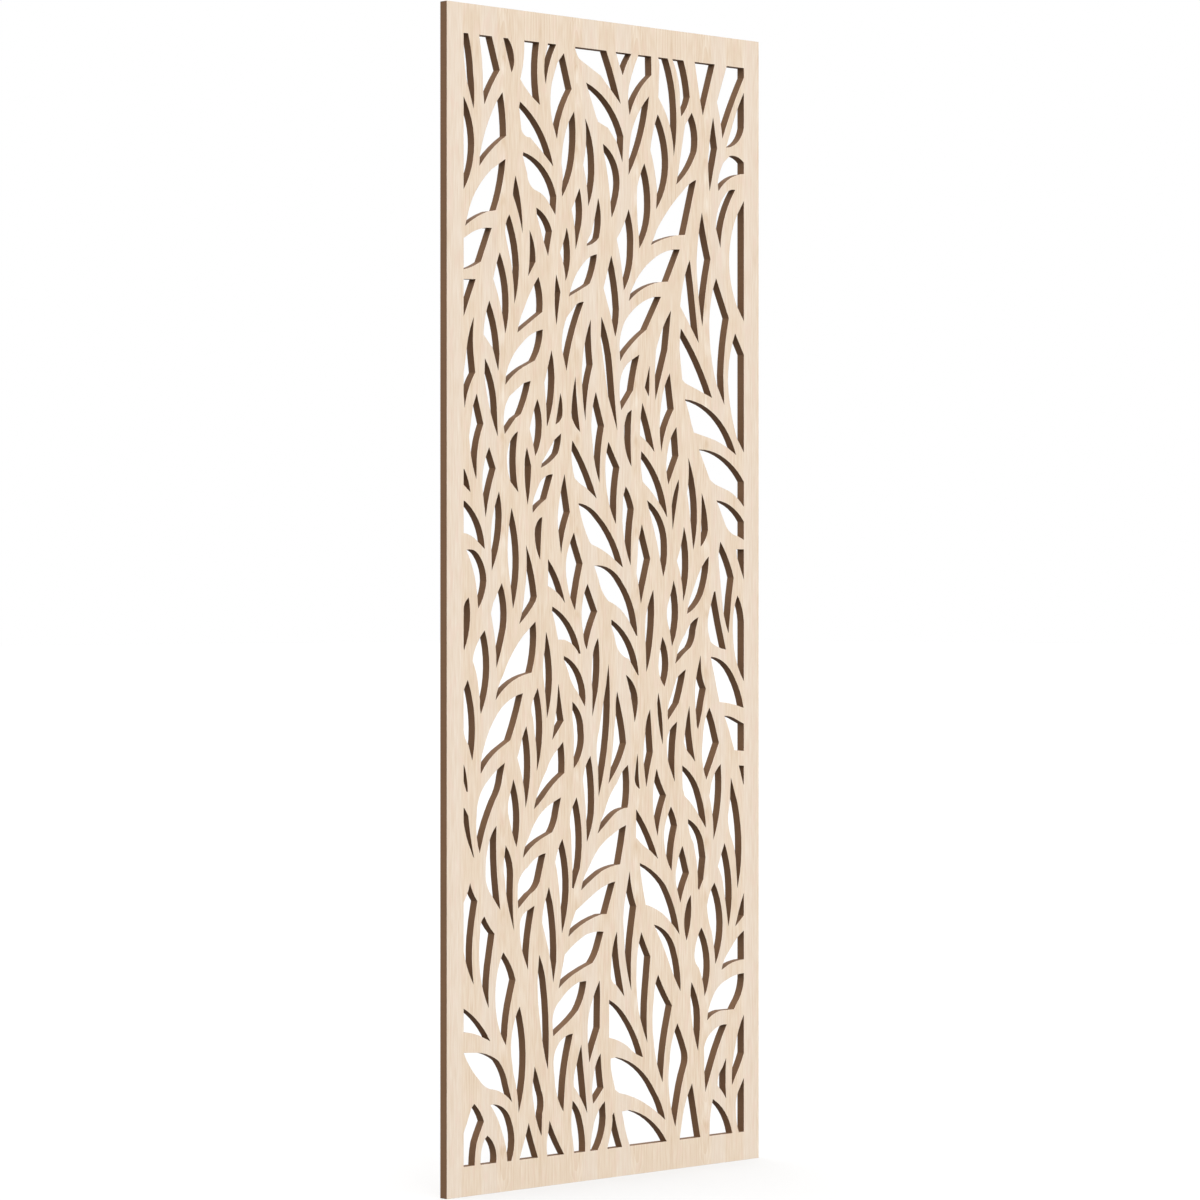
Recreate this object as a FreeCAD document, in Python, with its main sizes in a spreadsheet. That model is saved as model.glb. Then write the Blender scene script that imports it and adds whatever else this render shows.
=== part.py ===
import FreeCAD, Part
import os

import Sketcher

# Fretwork wood panel: one flat fibreboard core with wood veneer on both faces,
# cut right through with a pattern of leaf shaped openings.
# X runs to the right, Z runs up, the front face looks along -Y.
# The origin is at the middle of the bottom edge, halfway through the thickness.

# Each opening is a closed outline, clockwise, as percent shares of the fretted
# field: (across, up) is a corner whose next side is straight, and
# (across, up, via across, via up) is a corner whose next side is an arc that
# passes through the second point.
opening_percent_shares = (
    # first eighth of the height from the top, left to right
    ((0, 100), (1.5, 100, 2.5, 98.6), (3.2, 96.5, 3.6, 94.6), (3.35, 93.4), (1, 95.9, 0.3, 97.2),
     (0, 98.6)),
    ((0, 94.4, 2.1, 93), (3.55, 90.3, 2.9, 88.5), (0, 86.2)),
    ((14.15, 89.25, 13, 86.9), (10.8, 84.6), (8.2, 84.45, 4, 83.8), (0.5, 83), (1.2, 83.8, 2.3, 84.95),
     (4, 86.1, 6.2, 87.1), (9.4, 88.2)),
    ((5.2, 100), (9.5, 100), (12.2, 97.1, 8.5, 95), (7, 93.9), (6.5, 95.3, 6.4, 96.8)),
    ((13.1, 95.15, 14.05, 93.2), (14.35, 91.3, 9.5, 90), (5.3, 88.4), (5.45, 89.4, 7.8, 92),
     (11, 94.2)),
    ((13.4, 100), (15, 100, 16.6, 99.1), (17.1, 98.2, 16.95, 97.6), (16.2, 97)),
    ((17.6, 87.85, 19.25, 85.7), (20, 82.75, 18.5, 84.6), (16.65, 86.1, 17, 87)),
    ((19.1, 94.5, 25.7, 92.5), (30.6, 89), (26.8, 90.2), (22.6, 91.4, 20.9, 91.5), (19.6, 92),
     (18.8, 94)),
    ((20.6, 100), (25.7, 100, 25.05, 97.2), (26, 94.4, 23.1, 95.1), (19.2, 96.5),
     (20.1, 97.7, 20.5, 98.8)),
    ((20.2, 90, 28.6, 88.35), (31.7, 86.3), (31.35, 84.65), (29.2, 85.6, 27.6, 86.2),
     (24.5, 86.7, 22.5, 87.2), (21.6, 88.1), (20.1, 89.6)),
    ((28.8, 100), (31.6, 100, 29.25, 98.2), (28, 96.3, 27.5, 97.4), (27.6, 98.5)),
    ((34.3, 99.3), (37.05, 96.15, 33.9, 94.1), (31.9, 91.5), (30.2, 93.1, 29.6, 95), (30.1, 96.5),
     (32, 98.35)),
    ((37.9, 94.15, 38.4, 92.4), (38.15, 90.6, 36.75, 88.4), (33.7, 86.35), (33.55, 87, 33.9, 88),
     (33.45, 89.3, 34.25, 91.4), (35.9, 93.1)),
    ((38.2, 100), (49.3, 100, 51.8, 98), (54.5, 95.3), (50.5, 96.65), (47.2, 97.7), (41.5, 98.65),
     (39.8, 98.95, 38.8, 99.4)),
    ((41.8, 93.65, 44, 91.9), (45, 89.6, 44.65, 87.6), (42.9, 85.7, 42.35, 87.6),
     (41.1, 89.4, 42.05, 91.2)),
    ((42.1, 96.9, 50.8, 95), (55.4, 92.4), (55.1, 90), (53, 91.8), (49.9, 93), (46.4, 93.45),
     (45.7, 93.9)),
    ((48.1, 91.5, 51.9, 90.4), (53.95, 87.6, 53.1, 86.35), (51.2, 84.85), (50.75, 86.4, 49.75, 88.7),
     (48.6, 90.4)),
    ((52.7, 100), (58.3, 100, 56.5, 99), (55.2, 97.95), (54, 98.85)),
    ((60.9, 100), (65.5, 100), (65.6, 98.3, 61.3, 96.8), (57.7, 94.4, 57.1, 96.1),
     (57.4, 97, 58.9, 98.5)),
    ((64.7, 96.3, 62.7, 93), (57.3, 88.9), (57.4, 90.6, 57.75, 91.8), (58.5, 93, 61.7, 95.1)),
    ((63, 90.1, 64.75, 88.2), (65.2, 86.5, 64.4, 84.4), (61.2, 82.25), (60.95, 83.5, 60.35, 85.7),
     (60.4, 87.9, 61.6, 89.1)),
    ((67.9, 94.75, 70.75, 92.6), (71.7, 90.7, 70.9, 88.4), (67.3, 86), (67.6, 87.6, 66.85, 89.4),
     (65.15, 91.4, 66.9, 93.9)),
    ((82.05, 89.05), (77.9, 83.85), (75, 83.75, 69.5, 83.25), (65.4, 82.65), (66.2, 83.15),
     (67.5, 84.1, 72.2, 86.2), (77, 87.85, 79.5, 88.6)),
    ((68.1, 100), (71.5, 100, 73.4, 98.2), (74.5, 96, 74.75, 94.2), (74.4, 92.3),
     (73.75, 91, 73.2, 92.7), (72.1, 94.05, 69.9, 95.45), (68.1, 96.3), (68.5, 99.3)),
    ((73.2, 100), (77.3, 100, 78.8, 98.4), (79.65, 96.7, 78.6, 95.75), (76.5, 94.8),
     (76, 96.1, 75.4, 98.2)),
    ((80.4, 95.25, 82.25, 93.7), (82.2, 91.7, 79.65, 90.15), (74.7, 88.45), (75.3, 89.4), (77.9, 94)),
    ((81.5, 100), (89, 100), (84.5, 95.1), (83.4, 96.7)),
    ((88.4, 95.05), (89.9, 92.2), (87.1, 88.1, 86.6, 89.7), (86.5, 91.1, 87.2, 93.1)),
    ((96.7, 88.45, 92.9, 86), (91.15, 82.9), (89.35, 84.8, 90.15, 86.4), (93.2, 88.05, 94.8, 88.4)),
    ((93.5, 100), (100, 100), (100, 99.1, 95.4, 96), (91.9, 93.15, 91.2, 94.6), (89.8, 96.5)),
    ((94.6, 91.6, 97.3, 91.6), (100, 91.1), (100, 90.05, 95, 89.55), (90.4, 88.2),
     (90.1, 89, 91, 90.05), (92.1, 90.85)),
    ((100, 97.7), (100, 94.4, 98.5, 93.3), (93.3, 92.35), (95.6, 94.45, 97.2, 95.8)),
    # second eighth of the height from the top, left to right
    ((0, 81.9), (2.9, 82.5, 7, 82.95), (9.45, 83), (5.8, 79.95, 3.2, 79.5), (0, 79.15)),
    ((0, 78.3), (4.05, 78.35), (0, 75)),
    ((8.65, 76.55, 11, 74.4), (12.1, 71.9), (11.7, 70.35), (9.8, 72.35), (6.7, 73.5, 7.1, 74.8)),
    ((12.2, 80.9, 14.45, 78.7), (15.2, 76.4, 15, 75.1), (14.05, 73.7, 12.85, 75.7),
     (9.95, 78.5, 11.1, 79.9)),
    ((15.5, 84.35, 17.8, 82.1), (18.75, 79.8, 18.4, 78.2), (17.2, 76.4, 16.95, 78), (16.2, 79.8),
     (14.1, 82.5, 14.2, 83.4)),
    ((25.45, 78.95, 26.65, 77.6), (26.8, 75.85), (18.2, 73.85, 18.7, 74.6), (20.45, 76, 23.9, 78.2)),
    ((22.4, 83.1, 23.9, 81.9), (24.45, 80.3), (21.9, 78.95, 22.5, 81.2)),
    ((24.7, 85.15, 28.3, 84.3), (30.15, 83.15), (28.8, 80.9), (27.1, 82.35), (24.9, 84.5)),
    ((31.65, 79.3), (33.1, 77.75), (31.75, 74.75, 31.1, 77.3)),
    ((35.3, 83.6, 36.25, 82.3), (36.45, 80.9, 36, 79.8), (34.9, 78.75, 34.05, 80.4),
     (32.9, 81.3, 34.1, 82.2)),
    ((41.3, 77, 37.6, 73.9), (35.25, 70.65), (33.6, 72.6, 33.9, 74.1), (35.3, 75.5),
     (38.3, 76.6, 39.8, 76.9)),
    ((46, 81.4, 45.05, 80), (43.4, 78.7), (42.2, 78.45), (36.1, 77.4), (36.6, 77.95, 38.2, 79.2),
     (41.4, 80.55, 44, 81.2)),
    ((39.8, 87.25, 40.7, 85.5), (40.35, 83.9), (38.4, 81.65, 38.05, 83.7), (37, 85.3), (38.1, 86)),
    ((43.8, 75.45, 43.8, 74), (44.45, 71.35, 42.75, 69.1), (41.9, 66.2, 41, 68.2),
     (40.6, 70.1, 41.35, 72.8)),
    ((46.4, 86.55, 47.35, 84.7), (46.6, 82.9, 45, 82.45), (42.3, 82.1, 42.6, 82.5),
     (43.9, 83.2, 45.2, 84.7)),
    ((47.55, 75.75, 50.1, 73.6), (51.4, 71.4), (53.25, 65.45), (49.9, 68.6), (47.3, 73.6)),
    ((51.1, 81.4, 52.95, 79), (53.85, 76.6, 53.4, 75.1), (52.5, 74), (51.1, 75.7), (48.3, 78.4),
     (49.9, 80.1)),
    ((57.3, 85.75, 58.7, 84.1), (58.95, 82.2, 58, 80), (55.6, 78.3), (55.1, 79.6, 54.4, 81.1),
     (53, 82.95, 55.8, 84.5)),
    ((69.05, 77.95), (63.8, 74.85, 61.5, 74.3), (55.5, 72.4), (54.3, 71.8), (54, 73.2, 54.5, 74.3),
     (56, 75.5, 60.2, 76.9), (66.5, 77.9)),
    ((76, 82.45), (71.6, 79.4), (68.5, 79.3, 62.3, 78.55), (57.4, 77.35), (58, 78.1, 61.2, 79.85),
     (65.5, 81.2, 69.5, 82), (74, 82.42)),
    ((72.75, 76.75), (71.4, 73.1), (67.05, 68.4, 66.85, 70.4), (67.25, 73, 69.9, 75.2)),
    ((76.4, 75.15, 82.3, 72.5), (88, 68.85), (84.9, 69.25), (78, 70.1), (76.9, 70.4),
     (75.85, 73.2, 76.15, 74.6)),
    ((79.7, 81.55), (80.95, 79), (83, 73.9), (79.5, 75.6), (76.1, 77.2, 77.8, 80), (78.9, 81)),
    ((84.2, 86.1, 85.6, 84), (87.4, 81.8, 85.7, 79), (84.85, 77), (84.4, 75.45, 83, 78),
     (82.2, 81.5, 82.9, 83.9)),
    ((89.5, 80.05), (94.3, 76.4, 92.7, 73.3), (92.2, 71), (92.6, 68.25), (89.6, 70.2, 88.1, 72),
     (87.1, 74.3, 87, 76.3), (88.2, 78.9)),
    ((100, 87.5), (100, 76.2), (97.3, 77.6, 94.4, 81.6), (97.3, 86.05)),
    # third eighth of the height from the top, left to right
    ((3.45, 75, 3.1, 73.1), (3.25, 71.9), (3.9, 70.1, 1.9, 68.85), (0.35, 66.9), (0, 68.2), (0, 70),
     (0.9, 71.8, 1.8, 73.5)),
    ((4.4, 68.25), (6.65, 65.6, 5.05, 64), (4.4, 62.4), (4.3, 60.65, 3.05, 61.9), (2.35, 63.1),
     (1.8, 64.4), (3.1, 67.1)),
    ((8.6, 63.55), (10.8, 61.7, 8.75, 59.5), (7.4, 57.3), (6.6, 59.2, 6.3, 60.1),
     (6.7, 61.8, 7.6, 62.8)),
    ((7.2, 71.4, 9.7, 69.7), (11.2, 67), (11.55, 64.5, 8.8, 66.95), (7, 69.9)),
    ((22.75, 69.6, 21.3, 68), (19.4, 66.6), (17.5, 66.2), (13.9, 64.75, 13.5, 65.8), (14.2, 67.4),
     (15.5, 68.15), (20.2, 69.35)),
    ((26.95, 74.25, 26.2, 72.8), (24.2, 71.45), (22, 71.1, 18, 70.35), (14.1, 69.15),
     (14.35, 70.15, 16.95, 71.9), (20, 73, 24, 73.95)),
    ((18.4, 65.05, 17.6, 62.4), (18.55, 59.6), (15.9, 60.5), (15.2, 61.2, 14.65, 62.4),
     (15.1, 63.6, 16.5, 64.5)),
    ((21.5, 63.65), (22.95, 62, 22.6, 60.2), (21.75, 58.5, 20.8, 60.6), (20.65, 62, 21.1, 63.2)),
    ((25.1, 68, 26.3, 66.8), (26.5, 65.1, 26, 64.1), (24.4, 62.9), (23.5, 64.1),
     (22.4, 65.3, 23.9, 67)),
    ((33.35, 65, 33, 64), (32.2, 63.2, 29.9, 62.5), (26.3, 61.85), (26.8, 62.4), (31, 64.4)),
    ((30, 72.45, 30.85, 71), (30.9, 69.1, 30.2, 67.4), (28.4, 65.55), (28.15, 67.5), (27.5, 69.5),
     (28.7, 70.9)),
    ((33.1, 68.65, 33.75, 67.7), (33.75, 66.6, 33.1, 66.2), (31.4, 65.8)),
    ((38.4, 70.2, 38.95, 67.7), (40, 65.2, 37.7, 66.05), (36.9, 66.7, 37.25, 68.2)),
    ((37.3, 64.4, 42.1, 62), (45.9, 59.2), (42.2, 60.15, 39.2, 60.7), (38.1, 61, 37, 62.8)),
    ((45.6, 68.9), (48.5, 65.85, 47.35, 63.7), (47, 62), (46.9, 60.65, 45.5, 62), (44.8, 63.1),
     (44, 65.4, 44.4, 67.4)),
    ((50.1, 64.4), (54, 62.1, 53.05, 60), (52.85, 58.2), (52.75, 56.9, 50.4, 58.65),
     (49.1, 61, 49.25, 63.2)),
    ((61.2, 72.5, 60, 71), (58.9, 69.2), (54.7, 67.35, 54.1, 68.5), (54.2, 69.9, 55.6, 71.1),
     (58.3, 71.95)),
    ((58.4, 67.4, 58.05, 65), (58.35, 62.2, 56.6, 63.3), (55.7, 64.9, 55.95, 66.2), (57, 67.1)),
    ((62.3, 68.1, 64.75, 66), (66.7, 63.6, 63.6, 64.6), (61.4, 65.1, 61.7, 66.9)),
    ((61.9, 63.65, 67.3, 61.65), (71.35, 57.6, 67.9, 59.15), (62.4, 60.85, 61.75, 62.6)),
    ((64.95, 71.55), (64.8, 69.3), (64.65, 68.7), (63.15, 69.5)),
    ((72.3, 70.95), (73.75, 67.65, 70.9, 65.8), (69.25, 63.65, 68.6, 66.1), (69.2, 68.2, 70.4, 69.7)),
    ((74.75, 66), (75.5, 63.35), (71.8, 60.65, 71, 62.4), (71.6, 63.9, 72.6, 64.9)),
    ((77.9, 68.6, 88, 67.53), (97, 63.6, 93.5, 64.3), (87, 65.1), (81.2, 65.55),
     (80.2, 66.4, 79, 67.7)),
    ((79.15, 63.2, 81.5, 60.7), (82.35, 58.2, 82, 56.2), (81, 54.65), (79.6, 58.2),
     (78.65, 59.9, 79.1, 60.8)),
    ((83.1, 64, 93, 63.2), (100, 61.1), (100, 58.75, 97.5, 59.55), (94.3, 60.2), (89, 60.8),
     (87.2, 61.2)),
    ((96.7, 75), (100, 73.05), (100, 63.85), (97.4, 65.15, 94.95, 67.9), (93.95, 70.5, 94.3, 72.1),
     (95.7, 74.1)),
    # fourth eighth of the height from the top, left to right
    ((0, 61.55), (0.3, 61.5, 1.5, 60.6), (2.3, 59.5), (0, 60.15)),
    ((0, 58.75), (0.5, 58.7, 4.1, 57.5), (7.1, 54.5), (4.4, 55.25, 3.4, 55.5), (0, 55.9)),
    ((1.75, 50.2, 2.1, 48), (0.15, 45.55), (0, 45.8), (0, 49.2, 0.9, 49.95)),
    ((0.9, 54.4, 3.3, 54.4), (5.2, 53.95, 7, 52.9), (7.65, 51.7, 6.95, 50.55), (4.9, 49.25),
     (4.6, 50.4), (4.2, 51.3, 3.1, 52.75), (1.3, 54.15)),
    ((12.9, 51.5, 14.3, 49.8), (14.25, 47.5, 13.1, 46), (11.05, 43.95, 10.8, 45.9), (10.25, 47.1),
     (9.2, 48.8), (9.9, 49.7)),
    ((11.9, 59.65, 12.6, 58.6), (12.85, 57.3, 12.1, 55.2), (9.5, 52.6), (9.4, 54.2, 9.3, 56.3),
     (10.4, 58.2)),
    ((16.2, 58.2, 17.9, 56.2), (18.7, 53.8, 18.1, 51.1), (16.7, 49.2), (15.9, 51.3, 14.95, 53.6),
     (15.3, 56.6)),
    ((21.2, 54.9, 23.2, 53.1), (24.9, 50.3), (24.5, 49.9, 21, 48.5), (18.85, 47.85, 19.8, 48.9),
     (20.55, 50.4, 21.35, 52.6)),
    ((30.45, 61.3), (28.1, 59.05, 26.3, 58.65), (23.5, 57.8, 23.5, 58.6), (24.1, 59.3),
     (25.9, 60.5, 28, 61.1)),
    ((26.8, 57.45), (26.4, 56), (26.05, 53.6, 24.75, 54.6), (24.2, 55.7, 24.6, 56.7), (25.9, 57.3)),
    ((28.8, 53.65, 32.35, 51.9), (34.7, 49.7, 31.6, 50.75), (28.7, 51.25), (28.85, 52.6)),
    ((34.55, 61.35), (36.4, 57.95, 34.65, 56.3), (33.35, 54.15), (32.6, 55.8, 32.2, 56.7),
     (32.3, 58.1, 33.2, 59.7)),
    ((37.85, 56.1), (38.9, 55), (40.9, 53.3, 39.6, 51.6), (38.25, 49.05, 37.2, 49.7),
     (35.5, 51.5, 35, 52.6), (35.3, 54, 36.4, 55.1)),
    ((39.5, 58.75, 43, 58.45), (47, 57.5, 51.8, 55.6), (55.3, 52.95), (52.3, 53.65, 49, 54.35),
     (44, 55.05), (43.3, 55.3, 41.1, 56.85), (39.6, 58.5)),
    ((42.65, 51.45), (46.05, 48.95), (44.6, 47.9, 43.3, 46.7), (42.4, 45.5, 41.9, 45.8),
     (41.2, 46.9, 40.55, 48.2), (40.75, 49.6, 41.6, 50.7)),
    ((45, 53.1, 50.5, 52.85), (55, 51.6, 58.4, 49.8), (60.45, 46.65), (60, 46.75),
     (57.6, 48, 54.3, 49.15), (50, 49.9, 48, 50.7), (46.5, 51.9)),
    ((56.3, 60.4, 58.1, 59.4), (59.2, 58.35, 58.4, 56.4), (58.1, 54.5), (58.05, 53.15, 55.75, 55.5),
     (55.05, 57.2), (55.3, 59.4)),
    ((62.1, 56.95), (65.15, 53.8), (61.75, 49.65), (60.9, 51.3), (60.15, 52.4), (60.85, 55.4)),
    ((66.25, 50.95, 66.5, 48.2), (66, 46.5, 65.2, 44.9), (63.75, 43.35), (63.5, 45.8, 63.25, 47),
     (63.5, 48.5, 64.6, 49.7)),
    ((64, 59.15, 68.3, 57.95), (71.3, 54.9, 71, 53.4), (69.9, 52.15), (68.7, 53.8), (67.5, 55.4),
     (64.8, 58.25)),
    ((73.7, 51.8, 75.35, 48.9), (74.3, 46.6), (73.1, 45.7), (72.3, 47.2, 71.2, 48.6),
     (71.5, 49.5, 72.4, 50.3)),
    ((75.6, 61.15), (75.65, 60.4), (73.35, 56.45), (73, 58.7, 73.9, 59.95)),
    ((77.5, 56.8, 78.7, 55.3), (79.15, 53.7, 78.7, 51.6), (77.2, 49.85, 76.5, 52),
     (74.85, 53.6, 76.3, 54.9)),
    ((86.75, 54.05, 86.1, 52.1), (84.6, 50.6, 82.5, 49.6), (78.65, 48.7, 79, 49.3), (80.5, 50.65),
     (82.5, 52.1, 84.9, 53.4)),
    ((84.15, 59.95, 85.85, 58.2), (86.45, 56.5, 85.3, 55.55), (83.7, 54.95)),
    ((89.2, 50.8), (90, 49.5), (91.3, 47.7), (93.2, 45.35, 90.6, 45.55), (87.4, 46.1),
     (86.9, 46.6, 86.35, 47.7), (87.2, 49.2), (88.7, 50.75)),
    ((89.7, 59.3, 95.3, 58.75), (100, 57.35), (100, 55.65), (97.5, 56, 94.6, 56.4), (92.9, 57.1),
     (91, 58.4)),
    ((91.1, 55.45, 93.9, 53.95), (96.15, 52.1), (95.3, 50.3), (94.65, 48.3), (94.2, 46.85, 92.2, 48.9),
     (91.7, 50.1), (91, 52), (90.3, 54.1)),
    ((97.6, 50.4), (98.2, 50.1, 99.5, 49), (100, 48), (100, 42.35, 97.3, 44.1), (96.3, 45.4, 95.8, 47),
     (95.9, 48.4, 96.4, 49.3)),
    ((97, 54.75), (100, 54.75), (100, 51.9), (97.4, 54)),
    # fifth eighth of the height from the top, left to right
    ((1.4, 42.95, 3.8, 38.8), (2.9, 35.8), (1.6, 37.2, 0.3, 38), (0, 38.6), (0, 42)),
    ((7.1, 47.3, 8.65, 44), (5.8, 39.9, 5.55, 40.3), (5.5, 41.1), (5, 42.2, 4.5, 43.2), (3.05, 44.6),
     (3.3, 45.15, 5.6, 46.7)),
    ((20.1, 41.65, 17.6, 39), (15.8, 37.5), (13.3, 37, 9, 35.95), (5.75, 34.6, 5.85, 35.7),
     (6.8, 36.9), (7.9, 37.9, 9.6, 39), (12.8, 40.4, 16.5, 41.25)),
    ((24.4, 48.05, 24.7, 47), (24.6, 46, 24, 44.6), (23.1, 43.5), (20.5, 43.3, 14.6, 42.35),
     (10.8, 41.1, 11.6, 42.15), (13.3, 43.3, 15.1, 44.5), (20.2, 46.8)),
    ((21.3, 38.7, 22.65, 35.3), (21, 31.4, 20.3, 33.5), (19.2, 34.9), (18.2, 35.9),
     (19.2, 36.9, 20.4, 38.1)),
    ((25.2, 42.1, 26.8, 38.7), (24.9, 34.65, 24.7, 36.9), (24.1, 38.1), (23.6, 39.4, 23, 40.3),
     (23.4, 40.9)),
    ((28.1, 47.15, 30.15, 43.2), (28.4, 39.35, 28.05, 41), (27.4, 42.5, 27.05, 44.1), (27.7, 45.6)),
    ((30.3, 49.4, 36.5, 47.8), (40.15, 45.15), (39.6, 45.1, 37.2, 46), (34.5, 46.4), (32.3, 46.4),
     (31.9, 46.95, 31.2, 47.9), (30.15, 49)),
    ((32.4, 42.45), (34.2, 39.1), (32.4, 38.3), (30.25, 37.4), (30.8, 38.4), (31.1, 39.1, 31.7, 40.1),
     (32.1, 41.3)),
    ((34.3, 44.95, 38.5, 44.05), (41, 42.7, 41.9, 41.4), (41.65, 40.35), (39.1, 41.65, 37.4, 42.35),
     (35.9, 43.5), (34.3, 44.65)),
    ((37.3, 40.8, 39.8, 39.9), (41.2, 38.2, 41.35, 37.4), (40.7, 36.3, 39.4, 35.4), (37.75, 34.75),
     (37.75, 36.4, 37.85, 37.4), (37.3, 39.4)),
    ((46.4, 46.55, 46.9, 44.4), (46.2, 41.7), (44.35, 39.4), (44.4, 41.6, 44.05, 43.1),
     (44.4, 44.8, 45.2, 45.8)),
    ((50.1, 44.15, 50.2, 38.2), (46.6, 32.1), (46.35, 34.8, 45.9, 36.8), (46.8, 38.2), (47.6, 39.6),
     (49.2, 42.2)),
    ((53.2, 41.65), (54.5, 40.1, 55.9, 38.1), (56.4, 36.9, 54.5, 35.4), (52.6, 34.35), (50.1, 33.25),
     (50.9, 34.7), (51.6, 36.4), (52.3, 38.6), (52.7, 39.6, 52.8, 40.9)),
    ((51.15, 48.2, 57.2, 46.5), (60.95, 43.05), (60.5, 43.15), (57.4, 44.6, 54.5, 45.1), (52.8, 45.95),
     (51.9, 47, 51.1, 47.85)),
    ((56.35, 43.15, 59.3, 42.2), (60.65, 40.6, 60.3, 39.8), (59.5, 38.75, 58.3, 40.9)),
    ((65.1, 39.95), (65.4, 38.8), (66.1, 36), (64.8, 34.4), (63.75, 32.8), (63.2, 33.9),
     (62.7, 35.2, 62.7, 36.2), (63.3, 37.6, 64.2, 39.3)),
    ((68.1, 41.45, 69.15, 39.9), (69.7, 36.65, 68.4, 38.3), (67.7, 40.5)),
    ((69.6, 46.6, 71.65, 44.7), (70.9, 42.5), (70.35, 42, 68.5, 43.1), (68.2, 44.3, 68.8, 45.5)),
    ((75.05, 38.75), (74.3, 36.9, 74, 35.3), (74.15, 33.15), (72.9, 34.1, 71.7, 35.1),
     (71.2, 36.4, 71.6, 37.5), (73.3, 38.3)),
    ((78.2, 43.55, 77, 41.9), (75.6, 40.45), (73.6, 39.65), (71.65, 38.9, 71.6, 39.9), (72.7, 41),
     (74.8, 42.75, 76.5, 43.2)),
    ((82.9, 48.4), (81.8, 47.2, 80.8, 46), (80, 45.6, 77.5, 45), (75.8, 44.5), (74.3, 44.1),
     (75.1, 45.1, 76.4, 46.1), (77.9, 46.8, 79.5, 47.6), (81.2, 48.1)),
    ((79.55, 40.15), (79.8, 39, 81, 36), (81.7, 34.95), (80.1, 35.55, 78.5, 36.1), (77.5, 36.8),
     (78.1, 38.1, 78.8, 39.3)),
    ((83.7, 44.85), (83.9, 43.6, 84.6, 42.5), (85.65, 41.75), (84.8, 40.6, 83.8, 39.1), (82.75, 37.95),
     (82.3, 38.3), (81.8, 40, 81.6, 41.3), (82.4, 43.3)),
    ((87, 39.95, 88.2, 39.1), (89.7, 37.6), (90.55, 36.65), (88.2, 34.9), (85.85, 33.25, 84.6, 34.5),
     (84.25, 36.2), (84.7, 37.7, 85.6, 39)),
    ((87.6, 44.7, 91, 44.42), (94.6, 43.55, 97.6, 42.05), (99.9, 39.85), (97.3, 40.1, 92.5, 40.4),
     (90.8, 40.45), (89.7, 41.8), (88.9, 42.9), (87.7, 44.4)),
    ((92.6, 39.15, 95, 39.05), (97, 38.8), (100, 38.35), (100, 35.8), (96.4, 35.9),
     (95.2, 37, 93.6, 38.45)),
    # sixth eighth of the height from the top, left to right
    ((0, 35.5), (0.5, 35.1, 1.1, 34.2), (1.4, 33.05), (0.9, 33.1), (0, 34)),
    ((0, 31.65), (0.35, 31.6), (1.6, 30.9, 2.4, 29), (3.55, 27.2), (3.2, 27.3), (1.6, 28.5, 0.5, 29.6),
     (0, 30.4)),
    ((13.95, 35.5), (13.1, 34.3, 12, 33), (10.6, 32.2), (9.1, 31.2, 7.6, 30), (6.25, 28.6),
     (5.4, 27.55, 4.3, 29.4), (4.4, 31.1, 5, 32.3), (7.4, 33.7, 10.5, 34.7)),
    ((11.1, 29.95, 11.1, 26.4), (11.8, 24), (12.4, 22.4), (9.5, 23.75, 8, 24.55),
     (7.4, 25.9, 7.6, 27.1), (8.4, 28.3, 9.3, 29.1)),
    ((14.2, 28.15), (15.3, 27.55, 16.5, 26.4), (16.75, 25.4, 16.6, 23.8), (17.05, 20.5),
     (15.4, 22.3, 14.5, 23.6), (13.85, 25.2, 13.55, 26.7), (13.85, 27.3)),
    ((16.85, 34, 18.9, 30.4), (17.9, 27.95, 16.5, 29.2), (15.7, 30.2, 14.95, 31.4), (15.7, 32.7)),
    ((27.95, 27.25), (27, 26.1), (26.2, 25.1, 25.2, 24.35), (22.7, 23.7), (20.5, 23.05),
     (18.5, 22.45, 18.3, 23.6), (18.4, 24.6, 19.6, 25.45), (21.8, 26.1), (23.4, 26.6, 25.4, 27)),
    ((33.3, 32.2), (32.4, 31, 31.1, 29.6), (30.2, 29.1), (27, 28.65, 24, 28.1),
     (20.2, 26.95, 20.8, 27.9), (22.2, 28.75, 23.4, 29.6), (24.6, 30.2, 27, 31.05), (30, 31.7)),
    ((34.05, 37.2, 34.55, 35.5), (34.5, 34.4, 32, 33.8), (28.6, 32.75, 26.5, 32), (23.9, 31.25),
     (24.6, 32.1, 25.8, 33.2), (28.2, 34.65, 30.3, 35.9), (32.3, 36.6)),
    ((33.8, 28.45, 36, 24.1), (33.65, 19.95), (33.2, 22.3), (32.6, 24, 31.8, 25.7),
     (31.3, 26.4, 32.4, 27.6)),
    ((38.8, 32.15, 40.6, 28.6), (39.9, 25.7), (37.7, 23.9), (37.2, 24, 37.3, 25.6), (37, 27.5),
     (36.8, 29, 36.45, 30.1), (37.2, 31.2)),
    ((56.4, 29.4), (55.4, 27.6), (54.25, 25.85, 50.5, 25.65), (47.5, 25.3, 44.5, 24.7),
     (40.4, 23.7, 41.1, 24.6), (42.6, 25.5), (44.6, 26.55, 47.2, 27.6), (51, 28.5, 53.9, 29.05)),
    ((43.7, 35.85, 44.97, 32.5), (44.85, 30.6, 44.1, 29.45), (42.4, 28.05), (42.2, 29.8, 41.8, 31.8),
     (41, 33.7, 41.7, 34.7)),
    ((57.05, 34.9, 57.55, 33), (56.95, 31, 54.5, 30.85), (51, 30.15), (48.5, 29.4),
     (46.2, 28.75, 47.3, 29.75), (48.8, 30.85, 50, 31.8), (53.2, 33.3, 54.6, 34.1)),
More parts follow.
